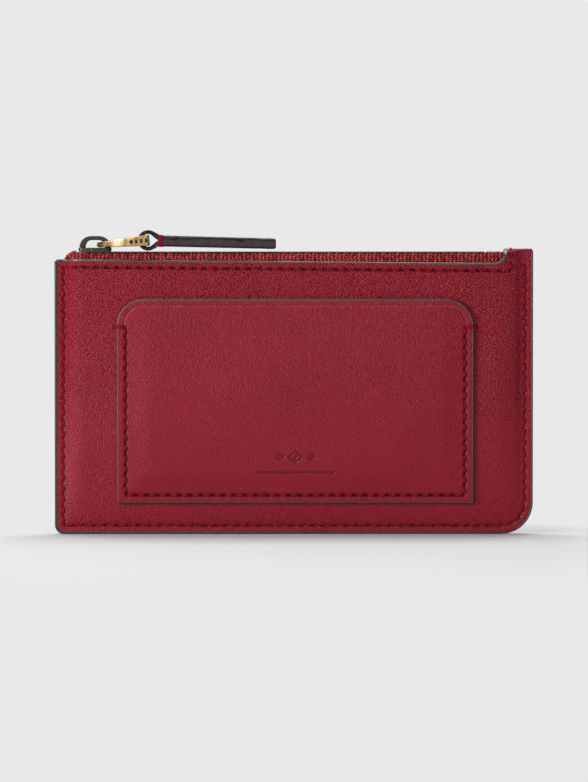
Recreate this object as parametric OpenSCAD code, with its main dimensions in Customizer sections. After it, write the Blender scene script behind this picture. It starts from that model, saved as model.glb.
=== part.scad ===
// Slim zippered leather pouch with a card pocket on its front.
// It stands on its bottom edge: +X runs along the zip towards the folded bridge, +Z is up, and the
// front with the card pocket faces -Y. The origin is the middle of the bottom edge. Millimetres.

/* [Pouch] */
// Width over the painted side edges
pouch_w = 128; // [122:1:140]
// Height of the leather edge at the left end of the zip
pouch_h = 73.6; // [68:0.2:80]
// How much lower that edge is at the right end of the zip
edge_drop = 1.0; // [0:0.1:1.5]
// How far the folded bridge stands above the left leather edge
bridge_rise = 3.2; // [2.8:0.1:3.4]
// Width of the bridge that joins front and back at the right
bridge_w = 7.8; // [7:0.1:9]
// Corner radius at the bottom right
big_corner = 8.5; // [6:0.5:12]
// Corner radius at the bottom left
small_corner = 2.5; // [2:0.5:4]

/* [Materials] */
// Thickness of the shell leather
leather_t = 1.2; // [1:0.05:1.4]
// Thickness of the lining
lining_t = 0.35; // [0.3:0.05:0.4]
// Thickness of the zip tape
tape_t = 0.45; // [0.4:0.05:0.5]
// Thickness of the paint on a cut edge
coat_t = 0.25; // [0.2:0.05:0.3]
// Thickness of the sewing thread
thread_d = 0.5; // [0.4:0.05:0.6]
// Length from one stitch to the next
stitch_pitch = 2.9; // [2.4:0.1:3.4]

/* [Card pocket] */
// Width of the pocket leather
pocket_w = 95.2; // [93:0.1:98]
// Height of the pocket leather
pocket_h = 54.7; // [52:0.1:56]
// Height of its bottom edge above the pouch's
pocket_z = 8.4; // [7:0.1:9]
// Radius of its two upper corners
pocket_corner = 7.2; // [5:0.1:9]
// Room for a card behind the pocket
card_gap = 0.8; // [0.8:0.05:0.9]

/* [Zip] */
// Distance between teeth on one tape
tooth_pitch = 2.04; // [2:0.01:2.2]
// Length of the slider
slider_l = 8.8; // [8.4:0.1:9.2]
// Half of the slider's width
slider_half = 2.6; // [2.6:0.05:2.7]

/* [Puller] */
// Length of the metal link from its pivot to the strap's pivot
link_l = 13.1; // [13:0.1:14]
// Angle of the resting link above the zip
link_angle = 5.2; // [4.6:0.1:6]
// Length of the leather strap from its pivot
strap_l = 34.2; // [20:0.1:40]
// Width of the leather strap
strap_w = 5; // [4.6:0.1:5.2]

/* [Hidden] */

clear = 0.15;                                   // running clearance between moving pieces
eps = 0.01;
far = 300;                                      // larger than the whole pouch
half_w = pouch_w / 2;
seam_w = 3;                                     // flat band along the stitched edges
shoulder_w = 3;                                 // where a wall rises from the seam at the sides
corner_flat = 5;                                // extra flat seam across the big corner
seam_half = leather_t + lining_t;               // half of the thickness of the stitched seam
mouth_half = slider_half + clear + tape_t + leather_t;
mouth_z = 66;                                   // the walls are upright above this height
bulge_power = 0.35;                             // how quickly the walls part above the bottom seam
bulge_steps = 8;
bridge_z = pouch_h + bridge_rise;               // top of the folded bridge
fold_h = bridge_rise;                           // height of the fold's arch
fold_z = bridge_z - fold_h;
bridge_x = half_w - bridge_w;                   // left end of the bridge
window_corner = 3;

chain_z = pouch_h + 1.4;                        // middle plane of the zip chain
tape_half = 0.25;                               // half of the thickness of the tape at the teeth
tape_edge = 1.45;                               // distance of the tape's inner edge from the middle
tape_foot = 66;                                 // lower edge of the tape
tape_left = -half_w + 2.8;
tape_right = half_w - 4.5;                      // under the bridge
lining_top = 72.3;
thread_out = thread_d / 2 - 0.1;                // height of a stitch's middle above the leather
tooth_half = 0.65;                              // half of the tooth's height
slider_x = -half_w + 6.4;                       // left end of the slider at rest, zip closed
channel_half = 0.85;                            // half of the height of the slider's channel
plate_t = 0.8;                                  // thickness of each slider plate
plate_z = chain_z + channel_half + plate_t;     // top of the slider's upper plate
stop_x = 51.7 - 64 + half_w;                    // left end of the bottom stop
stop_l = 3.4;
tooth_x = slider_x + 3;                         // middle of the first front tooth
teeth = floor((stop_x - tooth_x - 1.7) / tooth_pitch) + 1;

pivot_x = slider_x + 5.55;                      // the link's pivot in the lug
pivot_z = plate_z + 0.8;
lug_half = 0.8;
eye_half = lug_half + 0.2;
link_bar_r = 0.7;
link_half_t = [0.72, 1.5];                      // half of the link's thickness at each end
link_half_w = [2.1, 3.9];
strap_half_t = 1.35;
loop_r = 2.75;                                  // outer radius of the strap's loop
loop_t = 0.95;
strap_x = pivot_x + link_l * cos(link_angle);
strap_z = pivot_z + link_l * sin(link_angle);

pocket_x = 0.3;                                 // middle of the pocket
pocket_margin = 2.8;                            // stitched margin before the pocket rises
stitch_inset = 2.3;
stitch_l = stitch_pitch - 0.5;

leather = [0.52, 0.15, 0.2];
paint = [0.2, 0.19, 0.19];
thread = [0.55, 0.07, 0.13];
tape_red = [0.6, 0.12, 0.11];
brass = [0.78, 0.6, 0.3];
dark_metal = [0.2, 0.18, 0.16];
strap_brown = [0.16, 0.11, 0.11];
lining_red = [0.35, 0.1, 0.13];

// Points of an arc from angle a0 to a1, with radii rx and ry
function arc(cx, cy, rx, ry, a0, a1, n = 8) =
    [for (i = [0:n]) let (a = a0 + (a1 - a0) * i / n) [cx + rx * cos(a), cy + ry * sin(a)]];

// Height of the leather's upper edge beside the zip
function edge_z(x) = pouch_h - edge_drop * (x + half_w) / (pouch_w - bridge_w);

// Half of the thickness of the outside at height z, up to the mouth
function half_at(z) =
    seam_half + (mouth_half - seam_half) * pow(max(0, (z - seam_w) / (mouth_z - seam_w)), bulge_power);

// The wall is drawn in straight steps: height where step i starts, the step at height z, its slope,
// its lean from upright in degrees, and the wall's half thickness measured on it
function step_z(i) = seam_w + (mouth_z - seam_w) * pow(i / bulge_steps, 2);
function step_at(z) = min(bulge_steps - 1, floor(bulge_steps * sqrt((z - seam_w) / (mouth_z - seam_w))));
function slope_at(z) = let (i = step_at(z))
    (half_at(step_z(i + 1)) - half_at(step_z(i))) / (step_z(i + 1) - step_z(i));
function lean_at(z) = atan(slope_at(z));
function wall_at(z) = let (z0 = step_z(step_at(z))) half_at(z0) + slope_at(z) * (z - z0);

// Where the surface `inset` below the outside reaches the middle plane, measured up from the seam
function start_z(inset) = inset < seam_half ? seam_w :
    seam_w + (mouth_z - seam_w) * pow((inset - seam_half) / (mouth_half - seam_half), 1 / bulge_power);

// One side of the cross-section, from the bottom to the top of the fold
function side_points(inset) = let (z0 = start_z(inset), hm = mouth_half - inset)
    concat(inset < seam_half ? [[seam_half - inset, -1]] : [],
           [for (i = [0:bulge_steps]) let (z = z0 + (mouth_z - z0) * pow(i / bulge_steps, 2))
               [half_at(z) - inset, z]],
           arc(0, fold_z, hm, fold_h - inset, 0, 90));

function mirrored(points) = [for (i = [len(points) - 1:-1:0]) [-points[i][0], points[i][1]]];

// Plan of the outside, `inset` below it: pinched at the side seams
module plan(inset) {
    hs = seam_half - inset;
    hm = mouth_half - inset;
    xs = hs > 0 ? half_w - seam_w : half_w - seam_w + shoulder_w * hs / (hm - hs);
    xm = half_w - seam_w - shoulder_w;
    wall = concat(hs > 0 ? [[-half_w - 1, hs]] : [],
                  [[-xs, max(hs, 0)], [-xm, hm], [xm, hm], [xs, max(hs, 0)]],
                  hs > 0 ? [[half_w + 1, hs]] : []);
    other = [for (i = [len(wall) - 1:-1:0]) if (wall[i][1] > 0) [wall[i][0], -wall[i][1]]];
    polygon(concat(wall, other));
}

// Closed solid of the pouch's outside, `inset` below its surface. Across the big corner the seam
// stays flat, so that the stitches can turn it.
module pillow(inset) {
    flat_corner = half_w - 2 * seam_w - corner_flat - inset;
    intersection() {
        translate([0, 0, -2]) linear_extrude(far) plan(inset);
        rotate([90, 0, 90]) translate([0, 0, -half_w - 2]) linear_extrude(pouch_w + 4)
            polygon(concat(side_points(inset), mirrored(side_points(inset))));
        union() {
            if (inset < seam_half) slab(-far, far, -far, far, seam_half - inset);
            upright()
                polygon([[flat_corner - far, -far], [flat_corner + far, far], [-2 * far, far], [-2 * far, -far]]);
        }
    }
}

// Stands a shape drawn in X and Z upright, right through the pouch
module upright(half = 20) {
    rotate([90, 0, 0]) translate([0, 0, -half]) linear_extrude(2 * half) children();
}

// Everything in front of the middle plane (side -1) or behind it (side 1)
module half_space(side) {
    translate([-far / 2, side < 0 ? -far : 0, -far / 2]) cube(far);
}

module slab(x0, x1, z0, z1, half = 20) {
    translate([x0, -half, z0]) cube([x1 - x0, 2 * half, z1 - z0]);
}

// Front view of the shell, drawn in by c from every cut edge
module outline(c) {
    difference() {
        polygon(concat(
            arc(-half_w + small_corner, small_corner, small_corner - c, small_corner - c, 270, 180, 6),
            [[-half_w + c, bridge_z + 1]],
            arc(half_w - c - 1, bridge_z - 1, 1, 1, 90, 0, 4),
            arc(half_w - big_corner, big_corner, big_corner - c, big_corner - c, 0, -90, 10)));
        polygon(concat(
            [[-half_w - 1, edge_z(-half_w - 1) - c]],
            arc(bridge_x - window_corner, edge_z(bridge_x) + window_corner,
                window_corner + c, window_corner + c, 270, 360, 6),
            [[bridge_x + c, bridge_z + 2], [-half_w - 1, bridge_z + 2]]));
    }
}

// Two leather walls, apart at the stitched edges and joined by the fold over the bridge
module shell_walls() {
    difference() {
        pillow(0);
        pillow(leather_t);
    }
}

module outer_shell() {
    color(leather) intersection() {
        shell_walls();
        upright() outline(coat_t);
    }
}

// Area of the edge paint, as a ring in the front view
module paint_ring() {
    difference() {
        outline(0);
        outline(coat_t);
    }
}

module seam_edge_paint() {
    color(paint) intersection() {
        pillow(0);
        upright() difference() {
            paint_ring();
            translate([-half_w + coat_t, small_corner + big_corner]) square([pouch_w - 2 * coat_t, far]);
        }
    }
}

module window_edge_paint() {
    color(paint) intersection() {
        shell_walls();
        upright() intersection() {
            paint_ring();
            translate([-half_w + coat_t, small_corner + big_corner]) square([bridge_x + half_w + 1, far]);
        }
    }
}

// Lining of one wall: up to the tape it lies on the leather, above that on the tape
module lining(side) {
    tape_in = leather_t + tape_t;
    step = 0.8;
    intersection() {
        half_space(side);
        upright() outline(coat_t);
        union() {
            difference() {
                pillow(leather_t);
                pillow(leather_t + lining_t);
                slab(-far, far, tape_foot, far);
            }
            difference() {
                intersection() {
                    pillow(leather_t);
                    slab(-far, far, tape_foot - step, tape_foot);
                }
                pillow(tape_in + lining_t);
            }
            intersection() {
                pillow(tape_in);
                slab(-far, far, tape_foot - eps, lining_top);
                difference() {
                    slab(-far, far, 0, far);
                    pillow(tape_in + lining_t);
                }
            }
        }
    }
}

module lining_front() {
    color(lining_red) lining(-1);
}

module lining_back() {
    color(lining_red) lining(1);
}

// Front view of the pocket, drawn in by c; the open top is drawn in by top_c
module pocket_outline(c, top_c) {
    r = pocket_corner - (c + top_c) / 2;
    x0 = pocket_x - pocket_w / 2 + c;
    x1 = pocket_x + pocket_w / 2 - c;
    z0 = pocket_z + c;
    z1 = pocket_z + pocket_h - top_c;
    foot_r = 1;
    polygon(concat(
        arc(x0 + foot_r, z0 + foot_r, foot_r, foot_r, 270, 180, 3),
        arc(x0 + r, z1 - r, r, r, 180, 90, 8),
        arc(x1 - r, z1 - r, r, r, 90, 0, 8),
        arc(x1 - foot_r, z0 + foot_r, foot_r, foot_r, 0, -90, 3)));
}

// The pocket leather with its painted edge: a flat stitched margin, then a low rise that leaves
// room for a card and is open at the top
module pocket_leather() {
    rise = pocket_margin;
    wall = rise + leather_t;
    intersection() {
        half_space(-1);
        union() {
            difference() {
                intersection() {
                    pillow(-leather_t);
                    upright() pocket_outline(0, 0);
                }
                pillow(0);
            }
            difference() {
                intersection() {
                    pillow(-leather_t - card_gap);
                    upright() pocket_outline(rise, 0);
                }
                pillow(0);
            }
        }
        difference() {
            slab(-far, far, 0, far);
            intersection() {
                pillow(-card_gap);
                upright() union() {
                    pocket_outline(wall, pocket_corner);
                    translate([pocket_x - pocket_w / 2 + wall, pocket_z + pocket_h / 2])
                        square([pocket_w - 2 * wall, far]);
                }
            }
        }
    }
}

module card_pocket() {
    color(leather) intersection() {
        pocket_leather();
        upright() pocket_outline(coat_t, coat_t);
    }
}

module pocket_edge_paint() {
    color(paint) difference() {
        pocket_leather();
        upright() pocket_outline(coat_t, coat_t);
    }
}

// A thread of length l along X that lies on the XZ plane, sunk a little into the leather
module thread_bar(l) {
    rotate([90, 0, 90]) linear_extrude(l, center = true) intersection() {
        translate([-thread_out, 0]) circle(d = thread_d, $fn = 16);
        translate([-1, -1]) square([1, 2]);
    }
}

// A stitch at p in the front view, on a surface `out` in front of the middle plane.
// turn is its direction in that view, 0 along X; lean tips it with the wall.
module stitch(p, out, turn, lean = 0, l = stitch_l) {
    translate([p[0], -out, p[1]]) rotate([lean, 0, 0]) rotate([0, -turn, 0]) thread_bar(l);
}

// The same stitches on the front and on the back
module both_faces() {
    children();
    mirror([0, 1, 0]) children();
}

// Side, bottom and corner stitches that close the pouch
module seam_stitching() {
    out = seam_half;
    x = half_w - stitch_inset;
    r = big_corner - stitch_inset;
    left_n = floor((pouch_h - 5) / stitch_pitch);
    right_n = floor((pouch_h - 1 - big_corner) / stitch_pitch);
    foot_n = floor((pouch_w - stitch_inset - big_corner) / stitch_pitch);
    corner_n = 3;
    color(thread) both_faces() {
        for (i = [0:left_n - 1])
            stitch([-x, pouch_h - 3.5 - stitch_pitch * (i + 0.5)], out, 90);
        for (i = [0:right_n - 1])
            stitch([x, pouch_h - 1 - stitch_pitch * (i + 0.5)], out, 90);
        for (i = [0:foot_n - 1])
            stitch([half_w - big_corner - stitch_pitch * (i + 0.5), stitch_inset], out, 0);
        for (i = [0:corner_n - 1]) let (a = -90 + 90 * (i + 0.5) / corner_n)
            stitch([half_w - big_corner + r * cos(a), big_corner + r * sin(a)], out, a + 90);
    }
}

// Stitches that hold the zip under the leather, over the bridge and along both walls
module zip_stitching() {
    out = mouth_half;
    x1 = half_w - seam_w - shoulder_w - 0.3;
    n = floor((x1 + half_w - seam_w - shoulder_w - 1) / stitch_pitch);
    over_n = 5;
    color(thread) {
        both_faces() {
            for (i = [0:n - 1]) let (x = x1 - stitch_pitch * (i + 0.5))
                stitch([x, edge_z(x) - stitch_inset + 0.2], out, -atan(edge_drop / pouch_w));
            stitch([x1, edge_z(x1) - stitch_inset + 1.7], out, 90);
        }
        for (i = [0:over_n - 1]) let (a = 180 * (i + 0.5) / over_n)
            translate([x1, -mouth_half * cos(a), fold_z + fold_h * sin(a)])
                rotate([-atan2(mouth_half * sin(a), fold_h * cos(a)), 0, 0])
                    rotate([0, 90, 0]) thread_bar(1.9);
    }
}

// Stitches along the sides and the bottom of the card pocket
module pocket_stitching() {
    x = pocket_w / 2 - stitch_inset;
    z0 = pocket_z + stitch_inset - 0.2;
    side_n = floor((pocket_h - pocket_corner - stitch_inset) / stitch_pitch);
    foot_n = floor((2 * x) / stitch_pitch);
    color(thread) {
        for (side = [-1, 1], i = [0:side_n - 1]) let (z = z0 + stitch_pitch * (i + 0.6))
            stitch([pocket_x + side * x, z], wall_at(z) + leather_t, 90, lean_at(z));
        for (i = [0:foot_n - 1])
            stitch([pocket_x - x + stitch_pitch * (i + 0.7), z0],
                   wall_at(z0) + leather_t, 0, lean_at(z0));
    }
}

// Two short threads across each end of the pocket's opening
module pocket_bartacks() {
    l = 3.6;
    z = pocket_z + pocket_h - pocket_corner;
    end_w = 0.5;
    color(thread) for (side = [-1, 1]) translate([pocket_x + side * (pocket_w / 2 - 0.7), 0, 0]) {
        for (row = [-1, 1]) stitch([0, z + row * 0.27], wall_at(z) + leather_t, 0, lean_at(z), l);
        translate([side * (l / 2 + end_w / 2), -wall_at(z), z]) rotate([lean_at(z), 0, 0])
            translate([-end_w / 2, -leather_t - 0.4, -0.52]) cube([end_w, leather_t + 0.4, 1.04]);
    }
}

// One half of the zip's tape: a web sewn inside the mouth and a shelf that carries the teeth
module zip_tape(side) {
    top = chain_z + tape_half;
    end_x = bridge_x - 0.9;
    color(tape_red) intersection() {
        half_space(side);
        upright() polygon(concat([[tape_right, tape_foot], [tape_left, tape_foot]],
                                 arc(tape_left + 2.6, top - 2.6, 2.6, 2.6, 180, 90, 6),
                                 [[end_x, top], [end_x, fold_z], [tape_right, fold_z]]));
        union() {
            difference() {
                translate([0, 0, tape_foot]) linear_extrude(top - tape_foot) plan(leather_t);
                translate([0, 0, tape_foot - 1]) linear_extrude(far) plan(leather_t + tape_t);
            }
            translate([0, 0, chain_z - tape_half]) linear_extrude(2 * tape_half) difference() {
                plan(leather_t);
                square([far, 2 * tape_edge], center = true);
            }
        }
    }
}

module zip_tape_front() {
    zip_tape(-1);
}

module zip_tape_back() {
    zip_tape(1);
}

// A clamped metal piece with a slot for the tape's edge; its plan is drawn for the front tape
module clamped(half_h) {
    difference() {
        translate([0, 0, chain_z - half_h]) linear_extrude(2 * half_h) children();
        translate([-far / 2, -far - tape_edge, chain_z - tape_half]) cube([far, far, 2 * tape_half]);
    }
}

// Plan of a tooth: legs on the tape, a neck and a head that reaches past the middle
module tooth_plan() {
    polygon([[-0.55, -2.05], [0.55, -2.05], [0.55, -0.75], [0.3, -0.5], [0.42, 0.1], [0.25, 0.5],
             [-0.25, 0.5], [-0.42, 0.1], [-0.3, -0.5], [-0.55, -0.75]]);
}

module teeth_front() {
    color(brass) for (i = [0:teeth - 1]) translate([tooth_x + i * tooth_pitch, 0, 0])
        clamped(tooth_half) tooth_plan();
}

module teeth_back() {
    color(brass) for (i = [0:teeth - 1]) translate([tooth_x + (i + 0.5) * tooth_pitch, 0, 0])
        mirror([0, 1, 0]) clamped(tooth_half) tooth_plan();
}

module top_stop() {
    color(brass) translate([slider_x + 0.4, 0, 0]) clamped(tooth_half)
        translate([0, -2.05]) square([1.5, 1]);
}

module top_stop_front() {
    top_stop();
}

module top_stop_back() {
    mirror([0, 1, 0]) top_stop();
}

// Clamp over both tapes at the end of the chain
module bottom_stop() {
    half = 1.9;
    color(brass) difference() {
        translate([stop_x, -half, chain_z - 0.85]) cube([stop_l, 2 * half, 1.6]);
        for (side = [-1, 1]) translate([0, side * (tape_edge + 1), chain_z])
            cube([far, 2, 2 * tape_half], center = true);
    }
}

// Plan of a slider plate, rounded at both ends
module slider_plan() {
    r = 1.1;
    x1 = slider_x + slider_l;
    polygon(concat(arc(slider_x + r, r - slider_half, r, r, 180, 270, 5),
                   arc(x1 - r, r - slider_half, r, r, 270, 360, 5),
                   arc(x1 - r, slider_half - r, r, r, 0, 90, 5),
                   arc(slider_x + r, slider_half - r, r, r, 90, 180, 5)));
}

// Two plates with turned-in flanges, joined by the wedge that parts the teeth
module slider_body() {
    flange = 0.45;
    height = 2 * (channel_half + plate_t);
    color(dark_metal) difference() {
        translate([0, 0, chain_z - height / 2]) linear_extrude(height) slider_plan();
        difference() {
            translate([slider_x - 1, -slider_half - 1, chain_z - channel_half])
                cube([slider_l + 2, 2 * slider_half + 2, 2 * channel_half]);
            for (side = [-1, 1], level = [-1, 1])
                translate([slider_x - 1, side * (slider_half - flange / 2) - flange / 2,
                           chain_z + level * (channel_half - flange / 2) - flange / 2])
                    cube([slider_l + 2, flange, flange]);
            linear_extrude(far)
                polygon([[slider_x + 0.2, -0.5], [slider_x + 1, -0.8], [slider_x + 2.2, 0],
                         [slider_x + 1, 0.8], [slider_x + 0.2, 0.5]]);
        }
    }
}

// Arch that the link hangs on
module slider_lug() {
    x = slider_x;
    color(dark_metal) upright(lug_half) difference() {
        polygon(concat([[x + 8.65, plate_z]], arc(x + 5.3, plate_z + 0.15, 3.35, 3, 0, 90),
                       arc(x + 3.3, plate_z + 0.15, 3.1, 3, 90, 180), [[x + 0.2, plate_z]]));
        polygon(concat([[x + 7, plate_z - eps]], arc(x + 5.4, plate_z + 0.25, 1.6, 1.8, 0, 90),
                       arc(x + 3.4, plate_z + 0.25, 1.5, 1.8, 90, 180), [[x + 1.9, plate_z - eps]]));
    }
}

// Tapered link: a round bar in the lug, an eye that swings over the lug, and a slot for the strap
module puller_link() {
    bar = [link_l - 0.65, link_l + 0.35];
    slot_half = strap_w / 2 + 0.25;
    tip = bar[1];
    color(brass) translate([pivot_x, 0, pivot_z]) rotate([0, -link_angle, 0]) difference() {
        intersection() {
            upright() polygon(concat(arc(0, 0, link_half_t[0], link_half_t[0], 90, 270, 8),
                                     [[tip, -link_half_t[1]], [tip, link_half_t[1]]]));
            translate([0, 0, -5]) linear_extrude(10) polygon([
                [-1, -link_half_w[0]], [2, -link_half_w[0]],
                [tip - 4, -link_half_w[1]], [tip, -link_half_w[1]],
                [tip, link_half_w[1]], [tip - 4, link_half_w[1]],
                [2, link_half_w[0]], [-1, link_half_w[0]]]);
        }
        difference() {
            translate([0, -eye_half, -5]) cube([6, 2 * eye_half, 10]);
            rotate([90, 0, 0]) cylinder(h = 10, r = link_bar_r, center = true, $fn = 32);
        }
        translate([link_l - loop_r - 0.25, -slot_half, -5])
            cube([bar[0] - link_l + loop_r + 0.25, 2 * slot_half, 10]);
    }
}

// Leather strip looped through the link and closed on itself
module pull_strap() {
    tip_r = 0.5;
    color(strap_brown) translate([strap_x, 0, strap_z]) upright(strap_w / 2) difference() {
        union() {
            circle(r = loop_r, $fn = 48);
            polygon(concat([[1.2, -strap_half_t]],
                           arc(strap_l - tip_r, tip_r - strap_half_t, tip_r, tip_r, -90, 0, 4),
                           arc(strap_l - tip_r, strap_half_t - tip_r, tip_r, tip_r, 0, 90, 4),
                           [[1.2, strap_half_t]]));
        }
        circle(r = loop_r - loop_t, $fn = 48);
    }
}

// Turns of thread that close the strap behind its loop
module strap_binding() {
    turns = 4;
    turn_w = 0.27;
    grow = 0.22;
    color(thread) translate([strap_x + loop_r - 0.05, 0, strap_z]) for (i = [0:turns - 1])
        translate([i * turn_w, 0, 0]) difference() {
            translate([0, -strap_w / 2 - grow, -strap_half_t - grow])
                cube([turn_w - 0.03, strap_w + 2 * grow, 2 * (strap_half_t + grow)]);
            translate([-1, -strap_w / 2, -strap_half_t]) cube([3, strap_w, 2 * strap_half_t]);
        }
}

outer_shell();
card_pocket();
lining_front();
lining_back();
seam_edge_paint();
window_edge_paint();
pocket_edge_paint();
seam_stitching();
zip_stitching();
pocket_stitching();
pocket_bartacks();
zip_tape_front();
zip_tape_back();
teeth_front();
teeth_back();
top_stop_front();
top_stop_back();
bottom_stop();
slider_body();
slider_lug();
puller_link();
pull_strap();
strap_binding();
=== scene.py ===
"""Looks of the zippered pouch. Lengths are in millimetres until a mesh is made, in the frame of the CAD part:
+X along the zip, +Z up, and the front with the card pocket faces -Y."""

import math
from contextlib import contextmanager

import bmesh
import bpy
import numpy as np
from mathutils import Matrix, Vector, noise
from mathutils.geometry import delaunay_2d_cdt
from mathutils.kdtree import KDTree


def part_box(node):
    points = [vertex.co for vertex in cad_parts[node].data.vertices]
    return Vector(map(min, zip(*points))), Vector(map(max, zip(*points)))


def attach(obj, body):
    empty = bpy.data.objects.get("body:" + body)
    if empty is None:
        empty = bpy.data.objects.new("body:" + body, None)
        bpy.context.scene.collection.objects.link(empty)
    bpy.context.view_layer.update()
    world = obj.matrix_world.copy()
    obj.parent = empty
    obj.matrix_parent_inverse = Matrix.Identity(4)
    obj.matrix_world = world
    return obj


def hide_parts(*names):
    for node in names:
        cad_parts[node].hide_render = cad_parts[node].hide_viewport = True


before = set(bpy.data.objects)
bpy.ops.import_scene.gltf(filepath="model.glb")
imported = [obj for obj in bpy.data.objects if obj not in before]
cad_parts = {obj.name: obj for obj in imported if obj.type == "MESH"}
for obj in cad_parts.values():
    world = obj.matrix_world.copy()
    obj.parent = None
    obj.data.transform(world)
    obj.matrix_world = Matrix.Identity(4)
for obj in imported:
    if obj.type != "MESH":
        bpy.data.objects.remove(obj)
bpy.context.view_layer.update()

MM = 0.001


def cad_box(node):
    """Lowest and highest corner of a CAD node, in millimetres."""
    low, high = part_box(node)
    return Vector(low) / MM, Vector(high) / MM


# ---- sizes

seam_high = cad_box("seam_edge_paint")[1]
window_high = cad_box("window_edge_paint")[1]
pocket_low, pocket_high = cad_box("pocket_edge_paint")
teeth_low, teeth_high = cad_box("teeth_front")
strap_low, strap_high = cad_box("pull_strap")
link_low, link_high = cad_box("puller_link")
body_low, body_high = cad_box("slider_body")

HALF_W = seam_high.x
BRIDGE_Z = seam_high.z    # top of the folded bridge
SEAM_HALF = seam_high.y   # half thickness at the closed seams
MOUTH_HALF = window_high.y
POUCH_H = 73.6            # height of the walls at the left end of the zip
EDGE_DROP = 1.0           # fall of the walls' edge from there to the bridge
BRIDGE_W = 7.8
BRIDGE_X = HALF_W - BRIDGE_W
FOLD_H = BRIDGE_Z - POUCH_H
WINDOW_R = 3.0
BIG_CORNER, SMALL_CORNER, TOP_CORNER = 8.5, 2.5, 0.8
LEATHER = 1.2             # thickness
COAT = 0.25               # thickness of the paint on a cut edge

SEAM_FLAT = 2.75          # flat band outside the shoulder
SHOULDER = (5.6, 9.0)     # width over which a wall rises at the left and right sides
SEAM_INSET = 2.3
ZIP_INSET = 2.1
STITCH = 2.9
GAP = 0.9                 # between the threads of two stitches
THREAD_R = 0.26

POCKET_X = (pocket_low.x + pocket_high.x) / 2
POCKET_HALF = (pocket_high.x - pocket_low.x) / 2
POCKET_Z0, POCKET_Z1 = pocket_low.z, pocket_high.z
POCKET_CORNER = 7.2
POCKET_FOOT = 0.9         # radius at the pocket's lower left corner
POCKET_INSET = 2.3
CARD_GAP = 0.8
CREASE = 1.9              # from the pocket's open edge to the line pressed along it
PRESSED = 0.18            # depth of the pocket's motif
LINE_END = POCKET_Z1 - POCKET_CORNER   # height where that line gives way to stitches

CHAIN_Z = (teeth_low.z + teeth_high.z) / 2
TOOTH_PITCH = 2.04
TEETH = 52
TOOTH_X = teeth_low.x + 0.55
TAPE_T = 0.45
TAPE_EDGE = 1.45          # from the middle plane to the edge that holds the teeth
TAPE_LEFT, TAPE_RIGHT = -HALF_W + 2.8, HALF_W - 4.5
TAPE_FOOT = 66.0
LINING_TOP = 72.0
CLOTH = 0.35              # thickness of the lining

LINK_ANGLE = math.radians(5.2)
LINK_L = 13.1             # from the arch's pivot to the loop's
STRAP_HALF_W = strap_high.y
RING_R = (strap_high.z - strap_low.z) / 2
RING_X, RING_Z = strap_low.x + RING_R, (strap_high.z + strap_low.z) / 2
PLY_RING = 1.05           # thickness of the strip that makes the loop


# ---- curves and surfaces

def xyz(x, y, z):
    """Points from three coordinates, each one number or an array."""
    return np.stack(np.broadcast_arrays(x, y, z), -1).astype(float)


def unit(v):
    return v / (np.linalg.norm(v, axis=-1, keepdims=True) + 1e-12)


def arc(cx, cz, r, a0, a1, n=24):
    turn = np.radians(np.linspace(a0, a1, n + 1))
    return np.stack([cx + r * np.cos(turn), cz + r * np.sin(turn)], 1)


def dense(points, step, closed=True):
    """The same polyline with points no further than step apart."""
    points = np.asarray(points, float)
    after = np.roll(points, -1, 0) if closed else points[1:]
    out = []
    for a, b in zip(points, after):
        n = max(1, math.ceil(np.linalg.norm(b - a) / step))
        out.append(a + (b - a) * np.arange(n)[:, None] / n)
    if not closed:
        out.append(points[-1:])
    out = np.concatenate(out)
    keep = np.linalg.norm(np.diff(out, axis=0, prepend=out[:1] - 1), axis=1) > 1e-4
    return out[keep]


def lengths_along(path):
    """Length of a path from its start to each of its points."""
    return np.concatenate([[0], np.cumsum(np.linalg.norm(np.diff(path, axis=0), axis=1))])


def left_of(path, closed=False):
    """Unit direction to the left of a path in the front view, at each of its points."""
    along = np.roll(path, -1, 0) - np.roll(path, 1, 0) if closed else np.gradient(path, axis=0)
    along = unit(along)
    return np.stack([-along[:, 1], along[:, 0]], 1)


def leftward(path, closed=False):
    """The same as left_of, as directions in space."""
    left = left_of(path, closed)
    return xyz(left[:, 0], 0, left[:, 1])


def smooth(t):
    t = np.clip(t, 0, 1)
    return t * t * (3 - 2 * t)


def smooth_min(a, b, k):
    h = np.clip(0.5 + 0.5 * (b - a) / k, 0, 1)
    return b + (a - b) * h - k * h * (1 - h)


def groove(d, depth, width):
    """Depth of a rounded groove at distance d from its middle."""
    return depth * np.exp(-(d / width) ** 2)


def signed_power(v, power):
    return np.sign(v) * abs(v) ** power


def noise_at(x, z, size_x, size_z, seed):
    """Smooth noise from -1 to 1 with lumps of that size."""
    flat = np.stack([np.ravel(x) / size_x, np.ravel(z) / size_z], 1)
    values = [noise.noise(Vector((a, b, seed))) for a, b in flat]
    return np.array(values).reshape(np.shape(x))


def edge_z(x):
    """Height of the leather's edge beside the zip."""
    return POUCH_H - EDGE_DROP * (x + HALF_W) / (2 * HALF_W - BRIDGE_W)


def seam_distance(x, z, sides_only=False):
    """Distance in from the stitched edges: both sides and, unless sides_only, the bottom."""
    d = np.minimum(x + HALF_W, HALF_W - x)
    if not sides_only:
        d = np.minimum(d, z)
    for side, r in ((1, BIG_CORNER), (-1, SMALL_CORNER)):
        cx = side * (HALF_W - r)
        in_corner = (side * (x - cx) > 0) & (z < r)
        d = np.where(in_corner, np.minimum(d, r - np.hypot(x - cx, z - r)), d)
    return d


def rise_at(z):
    """How far a wall has opened at height z, from 0 at the bottom seam to 1 at the mouth."""
    above = np.maximum(z - SEAM_FLAT, 0)
    return 0.16 * (1 - np.exp(-above / 4.0)) + 0.84 * np.clip(above / 60, 0, 1) ** 0.9


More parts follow.
